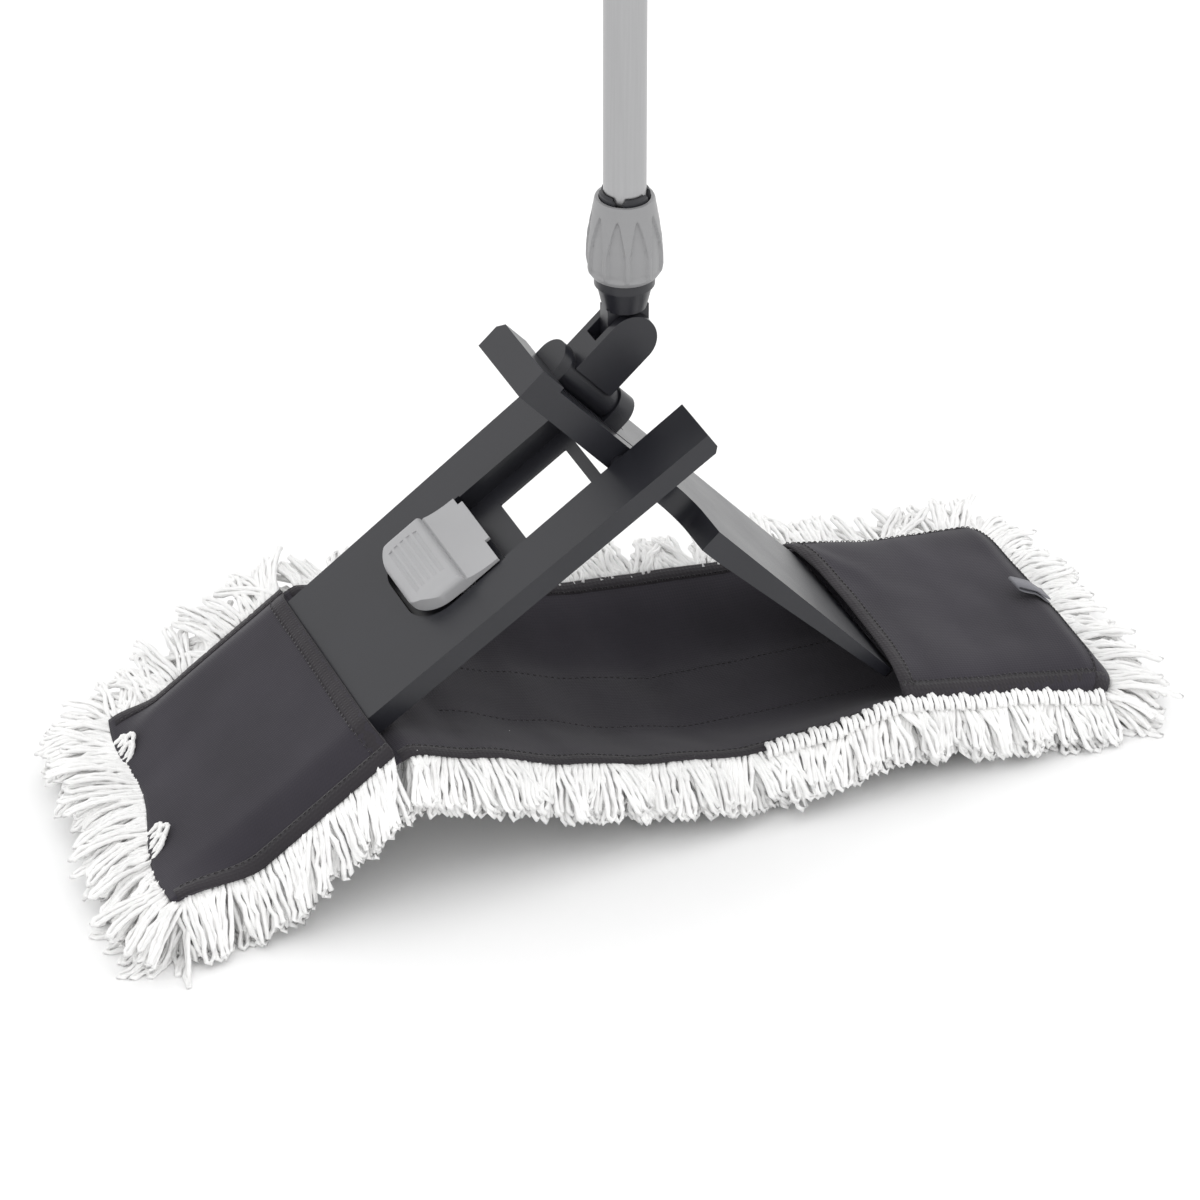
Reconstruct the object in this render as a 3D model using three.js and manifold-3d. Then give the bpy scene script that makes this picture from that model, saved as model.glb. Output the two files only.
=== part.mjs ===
// Flat mop with a folding pocket frame, a looped cotton cover and an upright handle.
// Millimetres, +Z up, +X along the mop towards the free end of the frame, -Y towards the user.
// The origin is on the floor, under the middle of the cover.
// The frame is half folded: its left half is home in the left pocket of the cover, and
// the tip of its right half has just come to the mouth of the right pocket.
import * as THREE from "three";
import { mergeVertices } from "three/addons/utils/BufferGeometryUtils.js";
import Module from "manifold-3d";

const wasm = await Module();
wasm.setup();

const GAP = 0.3; // clearance between pieces that touch
const CUT = 1; // how far a cutting tool runs past the face that it cuts
const DEG = Math.PI / 180;

// Frame. Each half is drawn flat, with the fold axis at its origin, and is then pitched.
const FOLD_Z = 194.7;
const LEFT_PITCH = 34.8 * DEG;
const RIGHT_PITCH = 47.6 * DEG;
const HALF_WIDTH = 63.9; // at the fold axis
const WIDTH_TAPER = 0.0237; // lost from the half width per mm towards each tip
const TIP_CORNER = 8;
const SIDES = 80; // wider than the frame, for cutting tools

const LEFT_TIP = -272;
const LEFT_TOP = 5;
const LEFT_BOTTOM = -7.2;
const LEFT_TIP_BOTTOM = -1;
const LEFT_TAPER_START = -180;
const ARM_INNER = 31.5;
const STUB_END = 44.2; // the near arm runs past the fold axis
const STUB_CHAMFER = 3;
const KNUCKLE_R = 9; // round end of the far arm
const FLOOR_TOP = -5.8; // thin floor between the arms
const FLOOR_START = -10.8;
const TONGUE_BAY_END = -76;
const PEDAL_BAY = { end: -131, half: 32.7, floor: -1.5, corner: 20 };
const WINDOW = { x0: -61.3, x1: -17.3, half: 18.4, corner: 1 };

const RIGHT_TIP = 210;
const RIGHT_TOP = 9.5;
const RIGHT_BOTTOM = -3.5;
const RIGHT_TIP_BOTTOM = 4.5;
const RIGHT_TAPER_START = 60;
const TONGUE = { end: -74.5, half: 28, bottom: -5.4, chamfer: 5.5 };
const TONGUE_LIP = { start: -58, top: 12.5 };
const NEAR_STEP = { x: 51, fillet: 14 };
const FAR_STEP = 12.5;
const SHELF = { y0: 12.5, y1: 15.5, floor: 8.2 }; // shallow grooves beside the ears

const FOLD_PIN = { r: 3, inner: 16, outer: 52 };
const WASHER_R = 4.8;

// Foot pedal, in the coordinates of the left half
const PEDAL_PIN = { x: -99, z: 1.6, r: 2, half: 40 };
const PEDAL = {
  half: 31.4, end: -128, shoulder: -78, nose: -75.1, noseY0: -13, noseY1: 25, corner: 18.5, blankTop: 30,
};
const PEDAL_LUG = { y: 22, half: 3.5, r: 4.6, top: 6.5 };
const PAD_TOP = { x: -111.9, z: 16.7, fall: 0.0143 }; // the crown of the pad, as a parabola along X
const PAD_RIBS = { first: -103.5, pitch: 4.2, count: 5, half: 20, r: 1.7, depth: 0.6 };

// Universal joint, in the coordinates of the right half
const JOINT_X = -33.4;
const LOWER_PIN_Z = 16.5;
const UPPER_PIN_Z = 50.5;
const EAR_R = 10.6;
const FAR_EAR = { x0: -57.5, x1: -51 };
const NEAR_EAR = { x0: -12, x1: -1 };
const LINK = { r: 14, halfY: 10, barrelR: 9.2, slotHalf: 5.5, slotFloor: 38.4 };
const JOINT_PIN = { r: 3, headR: 4.8, head: 2, skin: 1.8 };

// Socket, collar and handle, measured up from the upper pin
const SOCKET = { r: 11.35, half: 5.2, coneFoot: 16.5, ring: 29.5, coneTop: 34.6, coneR: 15.6 };
const SLEEVE = { r: 13, bore: 11.3, floor: 37, top: 83, slot: 1.6, notch: 4, notchDepth: 7, slotDepth: 26 };
const COLLAR = { z0: 35, z1: 79.3, flutes: 10, depth: 1 };
const TUBE = { r: 11, wall: 1.2, z0: 37.4, z1: 1100 };
const GRIP = { length: 130, r: 14, ribs: 4, groove: 0.9 };
const CAP = { shank: 20, height: 9, eyeZ: 21, eyeR: 12, holeR: 6.5, half: 4 };

// Cover
const CLOTH = { half: 84, thick: 2, x0: -131, fold: 40, x1: 267 };
const MOP = { halfX: 315, halfY: 127 };
const POCKET_LEFT = { mouth: -181, end: -299, seam: 12, pileFoot: -28.4 };
const POCKET_RIGHT = { mouth: 146, sheet: 2, seam: 6, half: 79 };
const TAG = { x0: 241, x1: 259, y0: -14, y1: -2, z0: 45.6, z1: 46.8 };
const PILE_HALF = 82;
const PILE_DROP = 19;
const FRINGE = { rise: 3, fall: 22, drop: 36 };
// Height of the top of the cloth along X: on the middle line, and at its side edges
const CLOTH_LINE = [
  { x: -131, middle: 75, edge: 84 }, { x: -100, middle: 65, edge: 76 },
  { x: -49, middle: 47, edge: 60 }, { x: 0, middle: 31, edge: 48 },
  { x: 40, middle: 21, edge: 42 }, { x: 95, middle: 19.5, edge: 43 },
  { x: 135, middle: 19.5, edge: 45 }, { x: 190, middle: 19.5, edge: 34 },
  { x: 267, middle: 20.5, edge: 24 },
];
// Height of the top of the right pocket along X: on the middle line, and at its sides
const POCKET_LINE = [
  { x: 146, middle: 57, edge: 54 }, { x: 185, middle: 50, edge: 44 },
  { x: 225, middle: 46, edge: 38 }, { x: 252, middle: 43, edge: 36 },
  { x: 264, middle: 30, edge: 29 },
];

const LOOK = {
  dark_plastic: { color: 0x45474c, roughness: 0.45, metalness: 0 },
  grey_plastic: { color: 0xa9aaac, roughness: 0.45, metalness: 0 },
  pale_plastic: { color: 0xbcbdbf, roughness: 0.45, metalness: 0 },
  aluminium: { color: 0xb4b3b4, roughness: 0.35, metalness: 0.6 },
  steel: { color: 0xb9bcc0, roughness: 0.3, metalness: 1 },
  cloth: { color: 0x4b4649, roughness: 0.95, metalness: 0 },
  yarn: { color: 0xeeeeec, roughness: 1, metalness: 0 },
  tag: { color: 0x8b8b8e, roughness: 0.9, metalness: 0 },
};

const group = new THREE.Group();

// ---------------------------------------------------------------- helpers

function toSolid(geometry) {
  const bare = geometry.index ? geometry.toNonIndexed() : geometry.clone();
  bare.deleteAttribute("normal");
  bare.deleteAttribute("uv");
  const merged = mergeVertices(bare, 1e-4);
  return new wasm.Manifold(new wasm.Mesh({
    numProp: 3,
    vertProperties: new Float32Array(merged.attributes.position.array),
    triVerts: new Uint32Array(merged.index.array),
  }));
}

function toGeometry(solid) {
  const mesh = solid.getMesh();
  const geometry = new THREE.BufferGeometry();
  geometry.setAttribute("position", new THREE.BufferAttribute(mesh.vertProperties, mesh.numProp));
  geometry.setIndex(new THREE.BufferAttribute(mesh.triVerts, 1));
  return geometry;
}

function add(name, look, solid, parent) {
  const mesh = new THREE.Mesh(toGeometry(solid), new THREE.MeshStandardMaterial(LOOK[look]));
  mesh.name = name;
  parent.add(mesh);
}

function joinAll(solids) {
  return solids.reduce((whole, piece) => whole.add(piece));
}

function cutAll(solid, tools) {
  return tools.reduce((whole, tool) => whole.subtract(tool), solid);
}

function box(x0, x1, y0, y1, z0, z1) {
  const geometry = new THREE.BoxGeometry(x1 - x0, y1 - y0, z1 - z0);
  return toSolid(geometry.translate((x0 + x1) / 2, (y0 + y1) / 2, (z0 + z1) / 2));
}

// A cylinder along Y through (x, z), between two values of Y in either order
function rodY(r, x, z, ya, yb, segments = 32) {
  const geometry = new THREE.CylinderGeometry(r, r, Math.abs(yb - ya), segments);
  return toSolid(geometry.translate(x, (ya + yb) / 2, z));
}

// A cylinder along X through (0, z)
function rodX(r, x0, x1, z, segments = 40) {
  const geometry = new THREE.CylinderGeometry(r, r, x1 - x0, segments).rotateZ(Math.PI / 2);
  return toSolid(geometry.translate((x0 + x1) / 2, 0, z));
}

function extrude(shape, depth) {
  return new THREE.ExtrudeGeometry(shape, { depth, bevelEnabled: false, curveSegments: 8 });
}

// A plan outline in X and Y, raised between z0 and z1
function slab(shape, z0, z1) {
  return toSolid(extrude(shape, z1 - z0).translate(0, 0, z0));
}

// A side outline in X and Z, carried between y0 and y1
function sideSlab(shape, y0, y1) {
  return toSolid(extrude(shape, y1 - y0).rotateX(Math.PI / 2).translate(0, y1, 0));
}

// A cross section in Y and Z, carried between x0 and x1
function crossSlab(shape, x0, x1) {
  return toSolid(extrude(shape, x1 - x0).rotateZ(Math.PI / 2).rotateY(Math.PI / 2).translate(x0, 0, 0));
}

function polygon(points) {
  return new THREE.Shape(points.map(([a, b]) => new THREE.Vector2(a, b)));
}

function roundedRect(x0, x1, half, corner) {
  const shape = new THREE.Shape();
  shape.moveTo(x0 + corner, -half);
  shape.lineTo(x1 - corner, -half);
  shape.absarc(x1 - corner, -half + corner, corner, -Math.PI / 2, 0, false);
  shape.absarc(x1 - corner, half - corner, corner, 0, Math.PI / 2, false);
  shape.absarc(x0 + corner, half - corner, corner, Math.PI / 2, Math.PI, false);
  shape.absarc(x0 + corner, -half + corner, corner, Math.PI, 1.5 * Math.PI, false);
  return shape;
}

function lathe(points, segments = 36) {
  const geometry = new THREE.LatheGeometry(points.map(([r, z]) => new THREE.Vector2(r, z)), segments);
  return geometry.rotateX(Math.PI / 2);
}

// A solid through equal loops of [y, z] points, one loop at each x. Each four-sided face is
// split from its corner nearer the middle line, so that neighbouring sheets bend alike.
function loft(stations) {
  const count = stations[0].loop.length;
  const turn = THREE.ShapeUtils.area(stations[0].loop.map(([y, z]) => new THREE.Vector2(y, z)));
  const ringed = turn > 0 ? stations : stations.map(({ x, loop }) => ({ x, loop: [...loop].reverse() }));
  const places = ringed.flatMap(({ x, loop }) => loop.map(([y, z]) => [x, y, z]));
  const faces = [];
  for (let s = 0; s + 1 < ringed.length; s += 1) {
    for (let i = 0; i < count; i += 1) {
      const a = s * count + i;
      const b = s * count + ((i + 1) % count);
      const [c, d] = [a + count, b + count];
      const fromA = Math.abs(places[a][1]) < Math.abs(places[b][1]);
      faces.push(...(fromA ? [[a, b, d], [a, d, c]] : [[a, b, c], [b, d, c]]));
    }
  }
  faces.push(...capFaces(ringed[0].loop, 0, -1));
  faces.push(...capFaces(ringed[ringed.length - 1].loop, (ringed.length - 1) * count, 1));
  const geometry = new THREE.BufferGeometry();
  geometry.setAttribute("position", new THREE.Float32BufferAttribute(places.flat(), 3));
  geometry.setIndex(faces.flat());
  return toSolid(geometry);
}

// Triangles over a loop, turned so that they face along X with the given sign
function capFaces(loop, offset, sign) {
  const outline = loop.map(([y, z]) => new THREE.Vector2(y, z));
  return THREE.ShapeUtils.triangulateShape(outline, []).map((face) => {
    const area = THREE.ShapeUtils.area(face.map((i) => outline[i]));
    const turned = area * sign > 0 ? face : [...face].reverse();
    return turned.map((i) => i + offset);
  });
}

function halfWidth(distance) {
  return HALF_WIDTH - WIDTH_TAPER * distance;
}

// ---------------------------------------------------------------- left half of the frame

const leftHalf = new THREE.Group();
leftHalf.position.set(0, 0, FOLD_Z);
leftHalf.rotation.y = LEFT_PITCH * -1;
group.add(leftHalf);

function leftPlate() {
  const tip = halfWidth(-LEFT_TIP);
  const plan = polygon([
    [LEFT_TIP + TIP_CORNER, -tip], [STUB_END, -halfWidth(-STUB_END)], [STUB_END, -ARM_INNER],
    [KNUCKLE_R, -ARM_INNER], [KNUCKLE_R, halfWidth(-KNUCKLE_R)], [LEFT_TIP + TIP_CORNER, tip],
    [LEFT_TIP, tip - TIP_CORNER], [LEFT_TIP, -tip + TIP_CORNER],
  ]);
  const side = polygon([
    [LEFT_TAPER_START, LEFT_BOTTOM], [STUB_END - STUB_CHAMFER, LEFT_BOTTOM],
    [STUB_END, LEFT_BOTTOM + STUB_CHAMFER], [STUB_END, LEFT_TOP], [LEFT_TIP, LEFT_TOP],
    [LEFT_TIP, LEFT_TIP_BOTTOM],
  ]);
  return slab(plan, LEFT_BOTTOM, LEFT_TOP).intersect(sideSlab(side, -SIDES, SIDES));
}

// What is cut away to round the end of the far arm about the fold axis
function farArmEnd() {
  const corner = box(0, KNUCKLE_R + CUT, ARM_INNER - CUT, SIDES, LEFT_BOTTOM - CUT, LEFT_TOP + CUT);
  return corner.subtract(rodY(KNUCKLE_R, 0, 0, 0, SIDES));
}

// The pit in the bay that clears the lugs of the pedal
function lugPit(above) {
  const { x, z } = PEDAL_PIN;
  const { y, half, r } = PEDAL_LUG;
  const [reach, side] = [r + 1.4, y + half + 2.5];
  return box(x - reach, x + reach, -side, side, z - r - 0.9, above);
}

// The bay of the pedal, rounded at the pad and open towards the tongue
function pedalBay(above) {
  const { end, half, floor, corner } = PEDAL_BAY;
  const whole = slab(roundedRect(end, TONGUE_BAY_END + corner, half, corner), floor, above);
  return whole.intersect(box(end - CUT, TONGUE_BAY_END + CUT, -SIDES, SIDES, floor - CUT, above + CUT));
}

function leftFrameHalf() {
  const above = LEFT_TOP + CUT;
  const tools = [
    box(TONGUE_BAY_END, KNUCKLE_R + CUT, -ARM_INNER, ARM_INNER, FLOOR_TOP, above),
    box(FLOOR_START, KNUCKLE_R + CUT, -ARM_INNER, ARM_INNER, LEFT_BOTTOM - CUT, FLOOR_TOP + CUT),
    slab(roundedRect(WINDOW.x0, WINDOW.x1, WINDOW.half, WINDOW.corner), LEFT_BOTTOM - CUT, FLOOR_TOP + CUT),
    pedalBay(above),
    farArmEnd(),
    lugPit(above),
    rodY(PEDAL_PIN.r + GAP, PEDAL_PIN.x, PEDAL_PIN.z, -PEDAL_PIN.half - GAP, PEDAL_PIN.half + GAP, 20),
  ];
  for (const side of [-1, 1]) {
    tools.push(rodY(FOLD_PIN.r + GAP, 0, 0, (ARM_INNER - CUT) * side, (FOLD_PIN.outer + GAP) * side));
  }
  return cutAll(leftPlate(), tools);
}

add("left_frame_half", "dark_plastic", leftFrameHalf(), leftHalf);

for (const [side, place] of [[-1, "near"], [1, "far"]]) {
  const pin = rodY(FOLD_PIN.r, 0, 0, FOLD_PIN.inner * side, FOLD_PIN.outer * side);
  add(`fold_pin_${place}`, "steel", pin, leftHalf);
  const faces = [(TONGUE.half + GAP) * side, (ARM_INNER - GAP) * side];
  const hole = [(TONGUE.half - CUT) * side, (ARM_INNER + CUT) * side];
  const washer = rodY(WASHER_R, 0, 0, ...faces).subtract(rodY(FOLD_PIN.r + GAP, 0, 0, ...hole));
  add(`fold_washer_${place}`, "dark_plastic", washer, leftHalf);
}

// ---------------------------------------------------------------- foot pedal

// The pedal from the side: a crowned foot pad, a step, and a tab that rises to it
function pedalSide() {
  const shape = new THREE.Shape();
  shape.moveTo(PEDAL.nose, 5.2);
  shape.lineTo(PEDAL.nose, 6.8);
  shape.lineTo(-84, 7.4);
  shape.quadraticCurveTo(-92, 8.2, -96.2, 10);
  shape.lineTo(-97.4, 9.6);
  shape.quadraticCurveTo(-97.8, 13.4, -100.5, 15);
  shape.quadraticCurveTo(-112, 18.2, -122, 15.4);
  shape.quadraticCurveTo(PEDAL.end, 13.4, PEDAL.end, 9.5);
  shape.lineTo(-127.4, 6.6);
  shape.lineTo(-101, 5.2);
  shape.closePath();
  return shape;
}

// The pedal from above: rounded at the pad, and with a nose at the tab
function pedalPlan() {
  const { half, end, shoulder, nose, noseY0, noseY1, corner } = PEDAL;
  const shape = new THREE.Shape();
  shape.moveTo(shoulder, -half);
  shape.lineTo(shoulder, noseY0);
  shape.lineTo(nose, noseY0);
  shape.lineTo(nose, noseY1);
  shape.lineTo(shoulder, noseY1);
  shape.lineTo(shoulder, half);
  shape.lineTo(end + corner, half);
  shape.absarc(end + corner, half - corner, corner, Math.PI / 2, Math.PI, false);
  shape.absarc(end + corner, corner - half, corner, Math.PI, 1.5 * Math.PI, false);
  shape.closePath();
  return shape;
}

// The crown of the pad falls towards its two sides
function padCrown() {
  const { half } = PEDAL;
  const shape = new THREE.Shape();
  shape.moveTo(-half, 0);
  shape.lineTo(-half, 10.2);
  shape.quadraticCurveTo(-half, 15.6, 9 - half, 16.6);
  shape.quadraticCurveTo(0, 17.4, half - 9, 16.6);
  shape.quadraticCurveTo(half, 15.6, half, 10.2);
  shape.lineTo(half, 0);
  shape.closePath();
  return crossSlab(shape, PEDAL.end - CUT, PEDAL.nose + CUT);
}

// A lug under the pedal, round the pin
function pedalLug(y) {
  const { x, z } = PEDAL_PIN;
  const { r, top, half } = PEDAL_LUG;
  const shape = new THREE.Shape();
  shape.absarc(x, z, r, Math.PI, 2 * Math.PI, false);
  shape.lineTo(x + r, top);
  shape.lineTo(x - r, top);
  shape.closePath();
  return sideSlab(shape, y - half, y + half);
}

// Shallow grooves across the pad, which follow its crown
function padGrooves() {
  const { first, pitch, count, half, r, depth } = PAD_RIBS;
  const grooves = [];
  for (let i = 0; i < count; i += 1) {
    const x = first - i * pitch;
    const top = PAD_TOP.z - PAD_TOP.fall * (x - PAD_TOP.x) ** 2;
    grooves.push(rodY(r, x, top + r - depth, -half, half, 16));
  }
  return grooves;
}

function pedal() {
  const outline = slab(pedalPlan(), 0, PEDAL.blankTop);
  const blade = sideSlab(pedalSide(), -SIDES, SIDES).intersect(outline).intersect(padCrown());
  const lugs = [pedalLug(-PEDAL_LUG.y), pedalLug(PEDAL_LUG.y)];
  const bore = rodY(PEDAL_PIN.r + GAP, PEDAL_PIN.x, PEDAL_PIN.z, -SIDES, SIDES, 20);
  return cutAll(joinAll([blade, ...lugs]), [bore, ...padGrooves()]);
}

// Torsion spring wound on the pedal pin
function pedalSpring() {
  const turns = 4;
  const perTurn = 9;
  const coilR = 3.1;
  const pitch = 1.7;
  const wireR = 0.5;
  const points = [];
  for (let i = 0; i <= turns * perTurn; i += 1) {
    const angle = (i / perTurn) * 2 * Math.PI;
    const y = (i / perTurn - turns / 2) * pitch;
    const [x, z] = [coilR * Math.cos(angle), coilR * Math.sin(angle)];
    points.push(new THREE.Vector3(PEDAL_PIN.x + x, y, PEDAL_PIN.z + z));
  }
  const section = new THREE.Shape();
  section.absarc(0, 0, wireR, 0, 2 * Math.PI, false);
  return toSolid(new THREE.ExtrudeGeometry(section, {
    steps: turns * perTurn,
    curveSegments: 3,
    bevelEnabled: false,
    extrudePath: new THREE.CatmullRomCurve3(points),
  }));
}

add("foot_pedal", "pale_plastic", pedal(), leftHalf);
const pedalPin = rodY(PEDAL_PIN.r, PEDAL_PIN.x, PEDAL_PIN.z, -PEDAL_PIN.half, PEDAL_PIN.half, 20);
add("pedal_pin", "steel", pedalPin, leftHalf);
add("pedal_spring", "steel", pedalSpring(), leftHalf);

// ---------------------------------------------------------------- right half of the frame

const rightHalf = new THREE.Group();
rightHalf.position.set(0, 0, FOLD_Z);
rightHalf.rotation.y = RIGHT_PITCH;
group.add(rightHalf);

function rightPlan() {
  const tip = halfWidth(RIGHT_TIP);
  const { x, fillet } = NEAR_STEP;
  const shape = new THREE.Shape();
  shape.moveTo(TONGUE.end, -TONGUE.half);
  shape.lineTo(x - fillet, -TONGUE.half);
  shape.absarc(x - fillet, -TONGUE.half - fillet, fillet, Math.PI / 2, 0, true);
  shape.lineTo(x, -halfWidth(x));
  shape.lineTo(RIGHT_TIP - TIP_CORNER, -tip);
  shape.lineTo(RIGHT_TIP, -tip + TIP_CORNER);
  shape.lineTo(RIGHT_TIP, tip - TIP_CORNER);
  shape.lineTo(RIGHT_TIP - TIP_CORNER, tip);
  shape.lineTo(FAR_STEP, halfWidth(FAR_STEP));
  shape.lineTo(FAR_STEP, TONGUE.half);
  shape.lineTo(TONGUE.end, TONGUE.half);
  shape.closePath();
  return shape;
}

function rightSide() {
  return polygon([
    [TONGUE.end, TONGUE.bottom], [FAR_STEP, TONGUE.bottom], [FAR_STEP + 2, RIGHT_BOTTOM],
    [RIGHT_TAPER_START, RIGHT_BOTTOM], [RIGHT_TIP, RIGHT_TIP_BOTTOM], [RIGHT_TIP, RIGHT_TOP],
    [TONGUE_LIP.start, RIGHT_TOP], [TONGUE_LIP.start, TONGUE_LIP.top], [TONGUE.end, TONGUE_LIP.top],
  ]);
}

// One ear of the joint: a round head on straight flanks
function ear({ x0, x1 }) {
  const shape = new THREE.Shape();
  shape.moveTo(-EAR_R, RIGHT_TOP - CUT);
  shape.lineTo(EAR_R, RIGHT_TOP - CUT);
  shape.lineTo(EAR_R, LOWER_PIN_Z);
  shape.absarc(0, LOWER_PIN_Z, EAR_R, 0, Math.PI, false);
  shape.closePath();
  return crossSlab(shape, x0, x1);
}

// What is cut from the far top corner of the tongue, and from the shelf beside the ears
function tongueCuts() {
  const { end, half, chamfer } = TONGUE;
  const top = TONGUE_LIP.top;
  const bevel = crossSlab(
    polygon([[half - chamfer, top + CUT], [half + CUT, top + CUT], [half + CUT, top - chamfer]]),
    end - CUT, TONGUE_LIP.start + CUT);
  const grooves = [-1, 1].map((side) => {
    const [ya, yb] = [SHELF.y0 * side, SHELF.y1 * side].sort((a, b) => a - b);
    return box(TONGUE_LIP.start, NEAR_EAR.x1 + 20, ya, yb, SHELF.floor, RIGHT_TOP + CUT);
  });
  return [bevel, ...grooves];
}

function rightFrameHalf() {
  const blank = slab(rightPlan(), TONGUE.bottom, TONGUE_LIP.top);
  const plate = blank.intersect(sideSlab(rightSide(), -SIDES, SIDES));
  const body = joinAll([plate, ear(FAR_EAR), ear(NEAR_EAR)]);
  const tools = [
    ...tongueCuts(),
    rodX(JOINT_PIN.r + GAP, FAR_EAR.x0 + JOINT_PIN.skin, NEAR_EAR.x1 + CUT, LOWER_PIN_Z),
    rodX(LINK.barrelR + 1, FAR_EAR.x1, NEAR_EAR.x0, LOWER_PIN_Z),
  ];
  for (const side of [-1, 1]) {
    tools.push(rodY(FOLD_PIN.r + GAP, 0, 0, (FOLD_PIN.inner - GAP) * side, (TONGUE.half + CUT) * side));
  }
  return cutAll(body, tools);
}

add("right_frame_half", "dark_plastic", rightFrameHalf(), rightHalf);

// A headed pin along Z, from its foot at the origin
function headedPin(length) {
  const { r, headR, head } = JOINT_PIN;
  const end = length + head;
  return lathe([[0, 0], [r, 0], [r, length], [headR, length], [headR, end], [0, end]], 32);
}

const linkPinFoot = FAR_EAR.x0 + JOINT_PIN.skin + GAP;
const linkPin = headedPin(NEAR_EAR.x1 + GAP - linkPinFoot);
linkPin.rotateY(Math.PI / 2).translate(linkPinFoot, 0, LOWER_PIN_Z);
add("link_pin", "steel", toSolid(linkPin), rightHalf);

// ---------------------------------------------------------------- swivel link

function swivelLink() {
  const x0 = JOINT_X - LINK.r;
  const x1 = JOINT_X + LINK.r;
  const neck = 5; // height above the lower pin where the cheeks spread
  const body = joinAll([
    rodX(LINK.barrelR, FAR_EAR.x1 + GAP, NEAR_EAR.x0 - GAP, LOWER_PIN_Z),
    box(x0, x1, -LINK.barrelR + CUT, LINK.barrelR - CUT, LOWER_PIN_Z, LOWER_PIN_Z + neck + CUT),
    box(x0, x1, -LINK.halfY, LINK.halfY, LOWER_PIN_Z + neck, UPPER_PIN_Z),
    rodY(LINK.r, JOINT_X, UPPER_PIN_Z, -LINK.halfY, LINK.halfY, 56),
  ]);
  return cutAll(body, [
    box(x0 - CUT, x1 + CUT, -LINK.slotHalf, LINK.slotHalf, LINK.slotFloor, UPPER_PIN_Z + LINK.r + CUT),
    rodX(JOINT_PIN.r + GAP, FAR_EAR.x1, NEAR_EAR.x0, LOWER_PIN_Z),
    rodY(JOINT_PIN.r + GAP, JOINT_X, UPPER_PIN_Z, JOINT_PIN.skin - LINK.halfY, LINK.halfY + CUT),
  ]);
}

add("swivel_link", "dark_plastic", swivelLink(), rightHalf);
const knucklePinFoot = JOINT_PIN.skin + GAP - LINK.halfY;
const knucklePin = headedPin(LINK.halfY + GAP - knucklePinFoot);
knucklePin.rotateX(-Math.PI / 2).translate(JOINT_X, knucklePinFoot, UPPER_PIN_Z);
add("knuckle_pin", "steel", toSolid(knucklePin), rightHalf);

// ---------------------------------------------------------------- socket, collar and handle

rightHalf.updateMatrixWorld(true);
const upright = new THREE.Group();
upright.position.copy(rightHalf.localToWorld(new THREE.Vector3(JOINT_X, 0, UPPER_PIN_Z)));
group.add(upright);

function socket() {
  const { r, half, coneFoot, ring, coneTop, coneR } = SOCKET;
  const cone = toSolid(lathe([
    [0, coneFoot], [r, coneFoot], [coneR - 1.2, ring], [coneR, ring], [coneR, coneTop],
    [SLEEVE.r, coneTop], [SLEEVE.r, SLEEVE.top - 1], [SLEEVE.r - 0.8, SLEEVE.top], [0, SLEEVE.top],
  ]));
  const body = joinAll([
    cone,
    box(-r, r, -half, half, 0, coneFoot + CUT),
    rodY(r, 0, 0, -half, half, 48),
  ]);
  const bore = lathe([
    [0, SLEEVE.floor], [SLEEVE.bore, SLEEVE.floor], [SLEEVE.bore, SLEEVE.top + CUT], [0, SLEEVE.top + CUT],
  ]);
  const tools = [toSolid(bore), rodY(JOINT_PIN.r + GAP, 0, 0, -half - CUT, half + CUT)];
  for (const turn of [-37.5, 52.5]) {
    const depth = SLEEVE.slotDepth;
    const slot = new THREE.BoxGeometry(SLEEVE.slot, 40, depth).translate(0, 0, SLEEVE.top - depth / 2 + CUT);
    const { notch, notchDepth, top } = SLEEVE;
    const wedge = polygon([[-notch, top + CUT], [notch, top + CUT], [0, top - notchDepth]]);
    tools.push(toSolid(slot.rotateZ(turn * DEG)));
    tools.push(toSolid(extrude(wedge, 40).rotateX(Math.PI / 2).translate(0, 20, 0).rotateZ(turn * DEG)));
  }
  return cutAll(body, tools);
}

// The clamping nut: a waisted turned body with shallow pointed flutes
function collar() {
  const { z0, z1, flutes, depth } = COLLAR;
  const inner = SLEEVE.r + GAP;
  const profile = [
    [inner, z0], [15.9, z0], [17.4, z0 + 1.2], [19.3, z0 + 4], [20.1, z0 + 9], [20, z0 + 16],
    [19.3, z0 + 24], [18, z0 + 32], [16.6, z0 + 38], [15.7, z0 + 42], [15.2, z1], [inner, z1], [inner, z0],
  ];
  const geometry = lathe(profile, flutes * 4);
  const place = geometry.attributes.position;
  for (let i = 0; i < place.count; i += 1) {
    const [x, y] = [place.getX(i), place.getY(i)];
    const r = Math.hypot(x, y);
    const height = (place.getZ(i) - z0) / (z1 - z0);
    const fade = Math.max(0, 1 - Math.abs(height - 0.35) / 0.5);
    const wave = Math.max(0, Math.cos(flutes * Math.atan2(y, x)));
    const scale = r > inner + 1 ? (r - depth * wave * fade) / r : 1;
    place.setXY(i, x * scale, y * scale);
  }
  return toSolid(geometry);
}

add("handle_socket", "dark_plastic", socket(), upright);
add("collar_nut", "grey_plastic", collar(), upright);

const tubeBore = TUBE.r - TUBE.wall;
const tube = lathe([
  [tubeBore, TUBE.z0], [TUBE.r, TUBE.z0], [TUBE.r, TUBE.z1], [tubeBore, TUBE.z1], [tubeBore, TUBE.z0],
]);
add("handle_tube", "aluminium", toSolid(tube), upright);

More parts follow.
